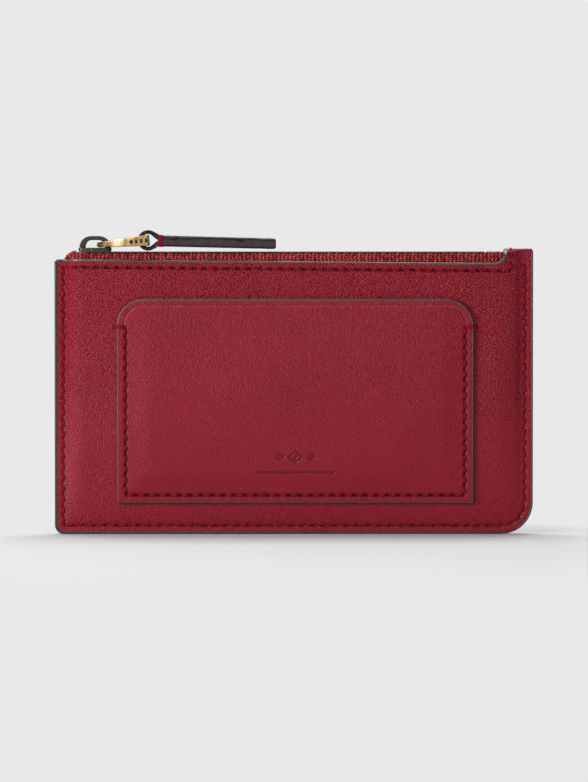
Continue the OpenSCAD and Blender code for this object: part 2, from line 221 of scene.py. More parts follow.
def puckers(x, z, holes):
    """Needle holes, and the leather drawn in round them."""
    total = np.zeros(np.shape(x))
    flat_x, flat_z, flat = np.ravel(x), np.ravel(z), np.ravel(total)
    for hx, hz, depth in holes:
        near = np.nonzero((abs(flat_x - hx) < 1.6) & (abs(flat_z - hz) < 1.6))[0]
        r2 = (flat_x[near] - hx) ** 2 + (flat_z[near] - hz) ** 2
        dip = depth * (0.4 * np.exp(-r2 / 0.27 ** 2) + 0.1 * np.exp(-r2 / 0.75 ** 2))
        flat[near] = np.maximum(flat[near], dip)
    return flat.reshape(np.shape(x))


class Wall:
    """One leather wall as a height over the middle plane."""

    def __init__(self, name, side, seed):
        self.name, self.side, self.seed = name, side, seed

    def half(self, x, z, holes=()):
        """Half thickness of the pouch: the height of this wall's outer face."""
        x, z = np.asarray(x, float), np.asarray(z, float)
        edge = seam_distance(x, z)
        beside = seam_distance(x, z, sides_only=True)
        from_top = edge_z(x) - z
        across = np.clip((beside - SEAM_FLAT) / np.where(x < 0, *SHOULDER), 0, 1)
        shoulder = (1 - (1 - across) ** 2.2) * smooth(across / 0.22)
        slim = 1 - 0.28 * smooth((x - 44) / 12) * smooth((z - 45) / 20)   # flatter towards the upper right
        h = SEAM_HALF + (MOUTH_HALF - SEAM_HALF) * shoulder * rise_at(z) * slim
        body = shoulder * smooth((z - 4) / 6) * smooth((from_top - 3) / 7)   # clear of every edge
        h = h + body * self.waves(x, z)
        # Drawn in along the thread and rounded at the edge, at the seams and then beside the zip.
        h = h - groove(edge - SEAM_INSET, 0.1, 0.45) - groove(edge, 0.14, 0.3)
        beside_zip = smooth((BRIDGE_X + 1.5 - x) / 1.5) * smooth((x + HALF_W) / 1.5)
        h = h - beside_zip * (groove(from_top - ZIP_INSET, 0.14, 0.45) + groove(from_top, 0.12, 0.3))
        if len(holes):
            h = h - puckers(x, z, holes)
        # Over the bridge both walls meet in one round fold.
        up = np.clip((z - POUCH_H) / FOLD_H, 0, 1)
        over = MOUTH_HALF * np.sqrt(1 - up ** 2)
        h = np.where(z > POUCH_H - 1, np.minimum(smooth_min(h, over, 0.5), over), h)
        return np.maximum(h, 0)

    def waves(self, x, z):
        """Soft unevenness of the leather, with a few slanting creases towards the top right."""
        w = 0.17 * noise_at(x, z, 24, 17, self.seed) + 0.06 * noise_at(x, z, 8, 7, self.seed + 5)
        along = (x - z * 0.9) / 1.6 + 1.1 * noise_at(x, z, 6, 6, self.seed + 9)
        near = smooth((x - 22) / 18) * smooth((z - 34) / 18)
        return w + 0.03 * near * np.sin(along * 2 * math.pi / 1.7)


front_wall = Wall("front", -1, 3.7)
WALLS = (front_wall, Wall("back", 1, 41.2))


# ---- stitches, as pairs of needle holes

def row(start, end, slant=0.0, pitch=STITCH):
    """Stitches from start to end. slant moves each stitch's ends to either side of the line."""
    start, end = np.array(start, float), np.array(end, float)
    n = max(1, round(np.linalg.norm(end - start) / pitch))
    step = (end - start) / n
    along = step / np.linalg.norm(step)
    across = np.array([-along[1], along[0]]) * slant
    return [(start + step * i + along * GAP / 2 - across, start + step * (i + 1) - along * GAP / 2 + across)
            for i in range(n)]


def seam_rows():
    inner = HALF_W - SEAM_INSET
    left = row((-inner, edge_z(-inner) - ZIP_INSET + 0.3), (-inner, SEAM_INSET), 0.07)
    foot = row((-inner, SEAM_INSET), (HALF_W - BIG_CORNER, SEAM_INSET), 0.07)
    turn = arc(HALF_W - BIG_CORNER, BIG_CORNER, BIG_CORNER - SEAM_INSET, -90, 0, 3)
    corner = [s for a, b in zip(turn, turn[1:]) for s in row(a, b, 0.04, 99)]
    return left + foot + corner + row((inner, BIG_CORNER), (inner, POUCH_H - 0.9), 0.07)


ZIP_END_X = BRIDGE_X + 1.75


def zip_rows():
    x0 = -HALF_W + SEAM_INSET + 0.3
    z0, z1 = edge_z(x0) - ZIP_INSET, edge_z(ZIP_END_X) - ZIP_INSET
    return row((x0, z0), (ZIP_END_X, z1), 0.09) + row((ZIP_END_X, z1), (ZIP_END_X, z1 + 2.6), 0.05)


def pocket_rows():
    x0, x1 = POCKET_X - POCKET_HALF + POCKET_INSET, POCKET_X + POCKET_HALF - POCKET_INSET
    z0, z1 = POCKET_Z0 + POCKET_INSET - 0.2, LINE_END
    return row((x0, z1), (x0, z0), 0.08) + row((x0, z0), (x1, z0), 0.1) + row((x1, z0), (x1, z1), 0.08)


SEAM_ROWS, ZIP_ROWS, POCKET_ROWS = seam_rows(), zip_rows(), pocket_rows()


def holes_of(rows, depth):
    """Places where thread goes in, and the slots between neighbouring ones, as (x, z, depth)."""
    places = [(*p, depth) for pair in rows for p in pair]
    for (_, end), (start, _) in zip(rows, rows[1:]):
        if np.linalg.norm(start - end) < 1.3 * GAP:
            places += [(*(end + (start - end) * t), depth) for t in (0.33, 0.67)]
    return np.array(places)


SHELL_HOLES = np.concatenate([holes_of(SEAM_ROWS, 0.6), holes_of(ZIP_ROWS, 0.9)])
POCKET_HOLES = holes_of(POCKET_ROWS, 1.0)


# ---- mesh helpers

def linked(name, mesh):
    ob = bpy.data.objects.new(name, mesh)
    bpy.context.scene.collection.objects.link(ob)
    return ob


@contextmanager
def edited(mesh):
    """A bmesh of a mesh, written back with smooth faces."""
    bm = bmesh.new()
    bm.from_mesh(mesh)
    yield bm
    for f in bm.faces:
        f.smooth = True
    bm.to_mesh(mesh)
    bm.free()


def new_object(name, verts, faces, sharp=()):
    """A smooth-shaded mesh object from millimetres. sharp lists the vertex pairs of crisp edges."""
    mesh = bpy.data.meshes.new(name)
    mesh.from_pydata((np.asarray(verts, float) * MM).tolist(), [], [list(map(int, f)) for f in faces])
    mesh.validate()
    with edited(mesh) as bm:
        bm.verts.ensure_lookup_table()
        for a, b in sharp:
            e = bm.edges.get((bm.verts[a], bm.verts[b]))
            if e:
                e.smooth = False
        bmesh.ops.remove_doubles(bm, verts=bm.verts, dist=2e-7)
        bmesh.ops.recalc_face_normals(bm, faces=bm.faces)
    return linked(name, mesh)


def finish_piece(ob, material, body, slot, *nodes):
    """Gives a new object its material and the body it rides on, and hides the CAD nodes it replaces."""
    ob.data.materials.clear()
    ob.data.materials.append(material)
    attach(ob, body)
    if nodes:
        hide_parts(*nodes)
    return ob


def add_piece(name, mesh, *facts):
    return finish_piece(new_object(name, *mesh), *facts)


def paint_shade_and_highlight(ob, holes, pressed=None, painted_highlight_at=None):
    """Stores, for the material, painted shade that darkens needle holes, the slots between them and a pressed
    motif, and a painted highlight that lightens a line along a crease."""
    co = np.zeros(len(ob.data.vertices) * 3)
    ob.data.vertices.foreach_get("co", co)
    x, _, z = co.reshape(-1, 3).T / MM
    # Painted shade: darkest in needle holes and the slots between them, lighter over the pressed motif.
    hole_shade = np.clip(puckers(x, z, holes) * 2.6 - 0.1, 0, 1)
    if pressed:
        hole_shade = np.maximum(hole_shade, 0.4 * pressed(x, z))
    # Painted highlight along a line.
    painted_highlight = painted_highlight_at(x, z) if painted_highlight_at else np.zeros(len(x))
    for name, value in (("hole_shade", hole_shade), ("painted_highlight", painted_highlight)):
        ob.data.attributes.new(name, "FLOAT", "POINT").data.foreach_set("value", value)


def fill(outline, pitch, extra=(), step=0.35, cell=0.12):
    """Triangles that fill an outline in the front view: its own points come first, spaced by step, then a
    grid of that pitch and the extra points. Returns (points, triangles, number of outline points)."""
    rim = dense(outline, step)
    tree = KDTree(len(rim))
    for i, p in enumerate(rim):
        tree.insert((p[0], p[1], 0), i)
    tree.balance()
    low, high = rim.min(0), rim.max(0)
    gx, gz = np.meshgrid(np.arange(low[0], high[0], pitch), np.arange(low[1], high[1], pitch * 0.87))
    gx[1::2] += pitch / 2
    across = left_of(rim, closed=True) * (-1, -1)
    inside = [rim + side * across * d for d in (0.18, 0.42, 0.75) for side in (-1, 1)]
    inside += [np.asarray(e, float) for e in extra] + [np.stack([gx.ravel(), gz.ravel()], 1)]
    taken, kept = set(), []
    for p in np.concatenate(inside):
        key = (round(p[0] / cell), round(p[1] / cell))
        if key not in taken and tree.find((p[0], p[1], 0))[2] > 0.14:
            taken.add(key)
            kept.append(p)
    points = [Vector(p) for p in rim] + [Vector(p) for p in kept]
    edges = [(i, (i + 1) % len(rim)) for i in range(len(rim))]
    verts, _, faces, origin, _, _ = delaunay_2d_cdt(points, edges, [], 1, 1e-5)
    used = sorted({i for f in faces for i in f}, key=lambda i: min(origin[i] or [i + 10 ** 6]))
    place = {v: i for i, v in enumerate(used)}
    points = np.array([verts[i] for i in used])
    return points, [[place[i] for i in f] for f in faces], len(rim)


def grid(xs, zs):
    gx, gz = np.meshgrid(xs, zs)
    return np.stack([gx.ravel(), gz.ravel()], 1)


def along_rows(rows, reach=0.8, pitch=0.2):
    """Points of a fine grid round stitches, so that their holes have a shape."""
    out = []
    for a, b in rows:
        length = np.linalg.norm(b - a)
        along = (b - a) / length
        uv = grid(np.arange(-GAP / 2, length + GAP / 2, pitch), np.arange(-reach, reach + 0.01, pitch))
        out.append(a + uv[:, :1] * along + uv[:, 1:] * np.array([-along[1], along[0]]))
    return np.concatenate(out)


def closed_sheet(points, tris, rim, outer, inner, open_rim=()):
    """A leather piece: an outer and an inner surface over the same triangles, joined along the rim except
    between two rim points that are both in open_rim. Returns (verts, faces, crisp edges)."""
    n = len(points)
    faces = tris + [[i + n for i in t[::-1]] for t in tris]
    sharp = []
    for i in range(rim):
        j = (i + 1) % rim
        if not (i in open_rim and j in open_rim):
            faces.append([i, j, j + n, i + n])
            sharp += [(i, j), (i + n, j + n)]
    return np.concatenate([outer, inner]), faces, sharp


def rings_mesh(rings, closed=False):
    """A tube through rings of points, with caps unless it is closed on itself."""
    rings = np.asarray(rings, float)
    count, k = rings.shape[:2]
    faces = []
    for i in range(count if closed else count - 1):
        a, b = i * k, (i + 1) % count * k
        faces += [[a + j, a + (j + 1) % k, b + (j + 1) % k, b + j] for j in range(k)]
    if not closed:
        faces += [list(range(k))[::-1], list(range((count - 1) * k, count * k))]
    return rings.reshape(-1, 3), faces


def sweep(points, outs, depths, profile, closed=False):
    """Rings along points, each with its own two directions. The profile of (out, depth) pairs is one for all
    points, or one for each."""
    outs, depths = (np.broadcast_to(np.asarray(a, float), points.shape) for a in (outs, depths))
    profile = np.asarray(profile, float)
    rings = points[:, None] + outs[:, None] * profile[..., :1] + depths[:, None] * profile[..., 1:]
    return rings_mesh(rings, closed)


def oval(out_r, depth_r, n):
    turn = np.linspace(0, 2 * math.pi, n, endpoint=False)
    return np.stack([out_r * np.cos(turn), depth_r * np.sin(turn)], 1)


def joined(parts):
    """Several (verts, faces) as one."""
    verts, faces, base = [], [], 0
    for v, f in parts:
        verts.append(np.asarray(v, float))
        faces += [[i + base for i in face] for face in f]
        base += len(v)
    return np.concatenate(verts), faces


# ---- materials

def rgba(color, k=1.0):
    """Opaque colour from a grey level or three channels, times k."""
    return tuple(float(c) * k for c in np.broadcast_to(color, 3)) + (1.0,)


class Look:
    """A material and short calls that add its nodes. Coordinates are the object's own, in metres."""

    def __init__(self, name):
        self.material = bpy.data.materials.new(name)
        self.material.use_nodes = True
        self.tree = self.material.node_tree
        self.shader = self.tree.nodes["Principled BSDF"]
        self.coords = self.node("TexCoord")["Object"]
        self.x, self.y, self.z = self.node("SeparateXYZ", {"Vector": self.coords})

    def feed(self, socket, value):
        if isinstance(value, bpy.types.NodeSocket):
            self.tree.links.new(value, socket)
        else:
            socket.default_value = value

    def node(self, kind, inputs=(), **settings):
        """Adds a node and returns its outputs."""
        n = self.tree.nodes.new("ShaderNode" + kind)
        for key, value in settings.items():
            setattr(n, key, value)
        for key, value in dict(inputs).items():
            self.feed(n.inputs[key], value)
        return n.outputs

    def math(self, operation, *values):
        return self.node("Math", dict(enumerate(values)), operation=operation)[0]

    def wave(self, shape, value, period):
        return self.math(shape, self.math("MULTIPLY", value, 2 * math.pi / period))

    def mapped(self, vector, scale=(1, 1, 1), rotation=(0, 0, 0)):
        return self.node("Mapping", {"Vector": vector, "Scale": scale, "Rotation": rotation})[0]

    def noise(self, scale, detail, roughness=0.5, at=None, output="Fac"):
        inputs = {"Vector": at or self.coords, "Scale": scale, "Detail": detail, "Roughness": roughness}
        return self.node("TexNoise", inputs)[output]

    def fade(self, value, start, end, low=0.0, high=1.0):
        """From low to high, smoothly, as value goes from start to end."""
        return self.node("MapRange", {0: value, 1: start, 2: end, 3: low, 4: high},
                         interpolation_type="SMOOTHSTEP")[0]

    def ramp(self, value, start, end, low=0.0, high=1.0):
        """From one colour or grey level to another as value goes from start to end."""
        outputs = self.node("ValToRGB", {"Fac": value})
        stops = outputs[0].node.color_ramp.elements
        stops[0].position, stops[1].position = start, end
        stops[0].color, stops[1].color = rgba(low), rgba(high)
        return outputs[0]

    def mix(self, fac, a, b, blend="MIX"):
        return self.node("Mix", {0: fac, 6: a, 7: b}, data_type="RGBA", blend_type=blend)[2]

    def bump(self, height, strength, distance):
        return self.node("Bump", {"Height": height, "Strength": strength, "Distance": distance})[0]

    def attribute(self, name):
        return self.node("Attribute", attribute_name=name)["Fac"]

    def shaded(self, **inputs):
        """Sets the shader's inputs, named with _ for each space, and returns the material."""
        for key, value in inputs.items():
            self.feed(self.shader.inputs[key.replace("_", " ")], value)
        return self.material


def leather_material(name, light, dark, roughness, grain=1.0, cell=0.4, wrinkle=0.0):
    """Fine nappa: small domed cells, coarser towards the top, with faint wrinkles towards the top right."""
    look = Look(name)
    warp = look.noise(520.0, 2.0, output="Color")
    bent = look.node("VectorMath", {0: warp, 1: (0.0003,) * 3, 2: look.coords}, operation="MULTIPLY_ADD")[0]
    slanted = look.mapped(bent, rotation=(0, 0.9, 0))
    cells = look.node("TexVoronoi", {"Vector": look.mapped(slanted, (0.82, 1, 1)), "Scale": 1000 / cell},
                      feature="F1")["Distance"]
    fine = look.noise(4200.0, 3.0, 0.6)
    height = look.math("MULTIPLY_ADD", look.math("POWER", cells, 2.0), -1.4, look.math("MULTIPLY", fine, 0.3))
    if wrinkle:
        streaks = look.noise(950.0, 2.0, at=look.mapped(slanted, (0.22, 1, 1)))
        place = look.math("MULTIPLY_ADD", look.fade(look.z, 0.050, 0.066), look.fade(look.x, -0.03, 0.01), 0.3)
        folds = look.math("MULTIPLY", look.math("MULTIPLY", streaks, place), wrinkle)
        height = look.math("ADD", height, folds)
    coarser = look.fade(look.z, 0.015, 0.070, 0.7, 1.7)
    bump = look.bump(height, 1.0, look.math("MULTIPLY", coarser, 0.00012 * grain))
    color = look.mix(look.ramp(look.noise(38.0, 3.0), 0.3, 0.7), rgba(dark), rgba(light))
    # Painted shade in the grain's hollows and a pale painted highlight on the tops of its cells.
    grain_shade_and_highlight = look.ramp(cells, 0.2, 0.8, (1.12, 1.3, 1.2), (0.74, 0.6, 0.66))
    color = look.mix(min(1.0, 0.8 * grain), color, grain_shade_and_highlight, "MULTIPLY")
    # Painted shade: near black in needle holes, in the slots between them and over the pressed motif.
    color = look.mix(look.attribute("hole_shade"), color, rgba((0.012, 0.0006, 0.0012)))
    # Painted highlight along the pocket's creased line.
    color = look.mix(look.attribute("painted_highlight"), color, rgba((0.42, 0.075, 0.105)))
    rough = look.ramp(fine, 0.3, 0.75, roughness - 0.07, roughness + 0.12)
    return look.shaded(Base_Color=color, Roughness=rough, Normal=bump, Specular_IOR_Level=0.22)


def paint_material(name, color, roughness, lump=1.4, depth=0.04, coat=0.0):
    """Edge paint: a smooth flexible coat with slight unevenness."""
    look = Look(name)
    lumps = look.noise(1000 / lump, 2.0)
    return look.shaded(Base_Color=look.mix(lumps, rgba(color), rgba(color, 0.6)), Roughness=roughness,
                       Normal=look.bump(lumps, 0.3, depth * MM), Coat_Weight=coat, Coat_Roughness=0.39)


def thread_material(name, color):
    """Twisted polyester thread with fine fibres."""
    look = Look(name)
    fibres = look.noise(6000.0, 3.0, 0.7)
    shade = look.mix(look.ramp(fibres, 0.35, 0.7), rgba(color, 0.55), rgba(color))
    return look.shaded(Base_Color=shade, Roughness=0.75, Normal=look.bump(fibres, 0.4, 0.00004),
                       Specular_IOR_Level=0.12)


def tape_material(name, dark, light):
    """Woven zip tape: rows of slanting yarn, each row leaning the other way, with painted shade between the
    yarns and a painted highlight on top of each.
    """
    yarn_pitch, row_pitch = 0.00102, 0.00055
    look = Look(name)
    across = look.math("SUBTRACT", look.z, look.math("ABSOLUTE", look.y))
    lean = look.math("PINGPONG", across, row_pitch)
    yarn = look.wave("SINE", look.math("MULTIPLY_ADD", lean, 0.6, look.x), yarn_pitch)
    weave = look.math("MULTIPLY_ADD", look.wave("COSINE", across, row_pitch), -0.6, yarn)
    height = look.math("MULTIPLY_ADD", look.noise(1500.0, 5.0, 0.7), 1.8, weave)
    # Painted shade in the weave's gaps and a painted highlight on the yarns' tops.
    color = look.mix(look.ramp(height, 0.1, 1.9), rgba(dark), rgba(light))
    spots = look.ramp(look.noise(1100.0, 1.0), 0.35, 0.65, (0.55, 0.45, 0.48), (1.3, 1.4, 1.3))
    return look.shaded(Base_Color=look.mix(1.0, color, spots, "MULTIPLY"), Roughness=0.9,
                       Normal=look.bump(height, 1.0, 0.00011), Specular_IOR_Level=0.12)


def fabric_material(name, color):
    """Plain fine lining cloth."""
    thread_pitch = 0.0004
    look = Look(name)
    weave = look.math("MULTIPLY", *(look.wave("SINE", v, thread_pitch) for v in (look.x, look.z)))
    shade = look.mix(look.ramp(weave, 0.0, 1.0), rgba(color, 0.7), rgba(color))
    return look.shaded(Base_Color=shade, Roughness=0.8, Normal=look.bump(weave, 0.5, 0.00008))


def metal_material(name, color, worn, roughness, wear=0.5, scratch=1.0, bands=()):
    """Plated metal with fine brushing, and a lighter worn colour in patches. bands lists (x, half width, colour,
    strength) of bands of darker or lighter colour along the piece, in millimetres."""
    look = Look(name)
    patches = look.noise(900.0, 6.0, 0.65)
    brushed = look.noise(3000.0, 3.0, at=look.mapped(look.coords, (0.25, 3, 3)))
    tone = look.mix(look.ramp(patches, 1 - wear, 1.18 - wear), rgba(color), rgba(worn))
    uneven_x = look.math("MULTIPLY_ADD", patches, 1.4 * MM, look.x)
    for middle, half, tint, strength in bands:
        off = look.math("ABSOLUTE", look.math("SUBTRACT", uneven_x, (middle + 0.7) * MM))
        near = look.fade(off, 1.3 * half * MM, 0.4 * half * MM, 0.0, strength)
        tone = look.mix(near, tone, rgba(tint))
    rough = look.ramp(brushed, 0.3, 0.7, roughness * 0.75, roughness * 1.35)
    return look.shaded(Base_Color=tone, Roughness=rough, Normal=look.bump(brushed, 0.2 * scratch, 0.00003),
                       Metallic=1.0)


RED_LEATHER = leather_material("red_leather", (0.252, 0.0056, 0.0180), (0.220, 0.0044, 0.0152), 0.36, 1.1,
                               wrinkle=0.6)
POCKET_LEATHER = leather_material("pocket_leather", (0.246, 0.0056, 0.0180), (0.218, 0.0044, 0.0152), 0.37,
                                  0.75, 0.38)
STRAP_LEATHER = leather_material("strap_leather", (0.026, 0.014, 0.0155), (0.019, 0.010, 0.011), 0.3, 0.6)
EDGE_PAINT = paint_material("edge_paint", (0.028, 0.032, 0.028), 0.42, coat=0.85)
# A darker copy of the edge paint, with less coat: painted shade on the seam's sides and bottom.
SHADED_EDGE_PAINT = paint_material("edge_paint_painted_shade", (0.017, 0.018, 0.017), 0.45, coat=0.3)
STRAP_EDGE = paint_material("strap_edge", (0.024, 0.010, 0.012), 0.16, 2.6, 1.3)
INLAY = paint_material("dark_inlay", (0.010, 0.009, 0.008), 0.5)
RED_THREAD = thread_material("red_thread", (0.27, 0.003, 0.018))
RED_TAPE = tape_material("red_tape", (0.075, 0.003, 0.006), (0.42, 0.050, 0.056))
LINING = fabric_material("lining_cloth", (0.11, 0.016, 0.022))
ANTIQUE = metal_material("antique_brass", (0.07, 0.062, 0.045), (0.30, 0.24, 0.14), 0.35, 0.42)
NICKEL = metal_material("nickel", (0.26, 0.25, 0.22), (0.38, 0.36, 0.32), 0.38)
GUNMETAL = metal_material("gunmetal", (0.055, 0.054, 0.05), (0.30, 0.27, 0.2), 0.38, 0.36)
WORN_BRASS = metal_material("worn_brass", (0.10, 0.08, 0.045), (0.42, 0.33, 0.18), 0.35)
# Darker bands at both ends of the link and between; the near-white band is a painted highlight.
BRASS = metal_material("brass", (0.44, 0.28, 0.115), (0.50, 0.35, 0.17), 0.22, scratch=0.1, bands=[
    (link_low.x + 0.6, 1.6, (0.07, 0.04, 0.02), 0.9), (link_low.x + 3.2, 0.7, (0.16, 0.09, 0.04), 0.55),
    (link_low.x + 5.7, 1.3, (0.85, 0.74, 0.52), 0.7), (link_low.x + 7.8, 0.4, (0.2, 0.11, 0.05), 0.5),
    (link_low.x + 14.2, 0.5, (0.05, 0.035, 0.02), 0.9)])


# ---- leather walls

# Centre and radius of each rounded corner of the shell, in by the paint on its edges.
LOWER_LEFT = (-HALF_W + SMALL_CORNER, SMALL_CORNER, SMALL_CORNER - COAT)
UPPER_LEFT = (-HALF_W + COAT + TOP_CORNER, edge_z(-HALF_W) - COAT - TOP_CORNER, TOP_CORNER)
WINDOW_END = (BRIDGE_X - WINDOW_R, edge_z(BRIDGE_X) + WINDOW_R, WINDOW_R + COAT)
UPPER_RIGHT = (HALF_W - COAT - 1, BRIDGE_Z - 1, 1)
LOWER_RIGHT = (HALF_W - BIG_CORNER, BIG_CORNER, BIG_CORNER - COAT)


def shell_inner(z, half):
    """Inside of the leather, as half thickness and height, at a point of its outside."""
    up = np.clip((z - POUCH_H) / FOLD_H, 0, 1)
    inner_z = np.where(z > POUCH_H, POUCH_H + (z - POUCH_H) * (FOLD_H - LEATHER) / FOLD_H, z)
    return np.maximum(half - LEATHER * np.sqrt(1 - up ** 2), 0), inner_z


def make_shell():
    """Both walls and the fold that joins them over the bridge."""
    fold_rows = POUCH_H + FOLD_H * np.sin(np.radians(np.arange(8, 90, 5.5)))
    extra = [along_rows(SEAM_ROWS + ZIP_ROWS), grid(np.arange(BRIDGE_X + 0.6, HALF_W - 0.5, 0.4), fold_rows)]
    outline = np.concatenate([arc(*LOWER_LEFT, 270, 180, 10), arc(*UPPER_LEFT, 180, 90, 6),
                              arc(*WINDOW_END, 270, 360, 14), [[BRIDGE_X + COAT, BRIDGE_Z]],
                              arc(*UPPER_RIGHT, 90, 0, 6), arc(*LOWER_RIGHT, 0, -90, 24)])
    points, tris, rim = fill(outline, 0.62, extra)
    x, z = points.T
    top = {i for i in range(rim) if z[i] > BRIDGE_Z - 1e-4}
    parts, sharp = [], []
    for wall in WALLS:
        half = wall.half(x, z, SHELL_HOLES)
        inner_half, inner_z = shell_inner(z, half)
        verts, faces, crisp = closed_sheet(points, tris, rim, xyz(x, wall.side * half, z),
                                           xyz(x, wall.side * inner_half, inner_z), top)
        base = len(verts) * len(parts)
        sharp += [(a + base, b + base) for a, b in crisp]
        parts.append((verts, faces))
    ob = new_object("leather_shell", *joined(parts), sharp)
    # Painted shade in the needle holes.
    paint_shade_and_highlight(ob, SHELL_HOLES)
    finish_piece(ob, RED_LEATHER, "pouch", "leather", "outer_shell")


def make_linings():
    """Cloth bonded inside each wall, from just above the bottom seam to below the zip."""
    inset = SEAM_FLAT + 0.9
    x0, x1, r = -HALF_W + inset, HALF_W - inset, BIG_CORNER - 1
    outline = np.concatenate([[[x0, LINING_TOP], [x0, inset]], arc(x1 - r, inset + r, r, -90, 0, 12),
                              [[x1, LINING_TOP]]])
    points, tris, rim = fill(outline, 1.6, step=1.2)
    x, z = points.T
    for wall in WALLS:
        outer = np.maximum(wall.half(x, z) - LEATHER - 0.03, 0.4)
        faces = [xyz(x, wall.side * half, z) for half in (outer, outer - CLOTH)]
        add_piece("lining_cloth_" + wall.name, closed_sheet(points, tris, rim, *faces),
                  LINING, "pouch", "lining", "lining_" + wall.name)


# ---- painted edges

def bead_profile(depth, out=0.27, back=0.3):
    """Rounded coat over a cut edge: out beyond the leather, back onto its faces."""
    face = depth / 2
    turn = np.radians(np.linspace(-90, 90, 9))
    ring = np.stack([out * np.cos(turn), (face + 0.05) * signed_power(np.sin(turn), 0.55)], 1)
    return np.concatenate([ring, [(-back, face + 0.045), (-back - 0.08, face - 0.12),
                                  (-back - 0.08, -face + 0.12), (-back, -face - 0.045)]])


def make_seam_bead():
    """Paint over the closed seam: down the left side, along the bottom and up the right side."""
    path = dense(np.concatenate([
        [[-HALF_W + COAT, edge_z(-HALF_W) - 0.6]], arc(*LOWER_LEFT, 180, 270, 12),
        arc(*LOWER_RIGHT, -90, 0, 30), arc(*UPPER_RIGHT, 0, 62, 6)]), 0.8, closed=False)
    x, z = path.T
    wide = 1 + 0.3 * smooth(-x / 20) - 0.12 * smooth(x / 20) + 0.02 * noise_at(x, z, 3, 3, 8.0)
    bead = sweep(xyz(x, 0, z), -leftward(path) * wide[:, None], (0, 1, 0), bead_profile(2 * SEAM_HALF))
    # The darker copy of the edge paint: painted shade.
    add_piece("seam_edge_coat", bead, SHADED_EDGE_PAINT, "pouch", "edge_paint", "seam_edge_paint")


def make_window_bead():
    """Paint round the whole window: front edge, over the left end of the bridge, and back edge."""
    path = dense(np.concatenate([arc(*UPPER_LEFT, 170, 90, 8), arc(*WINDOW_END, 270, 345, 16)]), 0.7,
                 closed=False)
    x, z = path.T
    out = leftward(path) * (1 + 0.5 * smooth((x - BRIDGE_X + 2) / 2))[:, None]
    mids, depths = [], []
    for wall in WALLS:
        half = wall.half(x, z)
        inner, inner_z = shell_inner(z, half)
        mids.append(xyz(x, wall.side * (half + inner) / 2, (z + inner_z) / 2))
        depths.append(-unit(xyz(0, wall.side * (half - inner), z - inner_z)))
    over = np.radians(np.linspace(24, 156, 15))
    mid_y, mid_z = MOUTH_HALF - LEATHER / 2, FOLD_H - LEATHER / 2
    fold = xyz(BRIDGE_X + COAT, -mid_y * np.cos(over), POUCH_H + mid_z * np.sin(over))
    bead = sweep(np.concatenate([mids[0], fold, mids[1][::-1]]),
                 np.concatenate([out, np.tile([-1.5, 0, 0], (len(fold), 1)), out[::-1]]),
                 np.concatenate([depths[0], xyz(0, np.cos(over), -np.sin(over)), depths[1][::-1]]),
                 bead_profile(LEATHER))
    add_piece("window_edge_coat", bead, EDGE_PAINT, "pouch", "edge_paint", "window_edge_paint")


# ---- card pocket

def pocket_outline(c):
    x0, x1 = POCKET_X - POCKET_HALF + c, POCKET_X + POCKET_HALF - c
    z0, z1 = POCKET_Z0 + c, POCKET_Z1 - c
    r, foot = POCKET_CORNER - c, max(POCKET_FOOT - c, 0.3)
    return np.concatenate([
        arc(x0 + foot, z0 + foot, foot, 270, 180, 5), arc(x0 + r, z1 - r, r, 180, 90, 24),
        arc(x1 - r, z1 - r, r, 90, 0, 24), arc(x1 - 0.4, z0 + 0.4, 0.4, 0, -90, 4)])


def pocket_distance(x, z):
    """Distance in from the pocket's edge, and from its stitched edges only."""
    sides = np.minimum(x - (POCKET_X - POCKET_HALF), POCKET_X + POCKET_HALF - x)
    foot = z - POCKET_Z0
    d = np.minimum(np.minimum(sides, foot), POCKET_Z1 - z)
    dx, dz = abs(x - POCKET_X) - (POCKET_HALF - POCKET_CORNER), z - LINE_END
    return np.where((dx > 0) & (dz > 0), POCKET_CORNER - np.hypot(dx, dz), d), smooth_min(sides, foot, 1.5)


def ornament(x, z):
    """Depth, from 0 to 1, of the pressed motif: three outlined lozenges over a thin bar."""
    total = np.zeros(np.shape(x))
    for cx, half_x, half_z in ((0.5, 2.3, 1.7), (-3.7, 1.5, 1.1), (4.7, 1.5, 1.1)):
        r = abs(x - cx) / half_x + abs(z - 20.8) / half_z
        total = np.maximum(total, 1 - smooth((abs(r - 0.78) - 0.1) / 0.16))
        total = np.maximum(total, 1 - smooth((r - 0.2) / 0.15))
    bar = 1 - smooth((abs(z - 16.6) - 0.16) / 0.2)
    return np.maximum(total, bar * smooth((10.4 - abs(x - 0.5)) / 0.5 + 0.5))


def open_edge(z):
    """1 beside the pocket's open edge, 0 beside its stitched ones."""
    return smooth((z - (LINE_END - 0.6)) / 0.6)


def pocket_face(x, z, holes=()):
    """Half thickness of the pouch at the pocket's outer face: the wall behind is followed loosely."""
    d, stitched = pocket_distance(x, z)
    line = open_edge(z)
    out = LEATHER + 0.6 * CARD_GAP * smooth((stitched - 2.5) / 6.5)
    out = out - groove(d, 0.1, 0.3) - line * groove(d - CREASE, 0.2, 0.2)
    out = out - (1 - line) * groove(stitched - POCKET_INSET, 0.1, 0.4)
    out = out + 0.1 * noise_at(x, z, 26, 20, 12.5) * smooth((stitched - 4) / 6)
    out = out - PRESSED * ornament(x, z)
    if len(holes):
        out = out - puckers(x, z, holes)
    return front_wall.half(x, z) + out


def crease_painted_highlight(x, z):
    """Strength, from 0 to 1, of the painted highlight along the creased line beside the open edge."""
    off = pocket_distance(x, z)[0] - CREASE - 0.1
    return open_edge(z) * groove(off, 1, 0.17) * (0.42 + 0.3 * noise_at(x, z, 1.5, 1.5, 30.0))


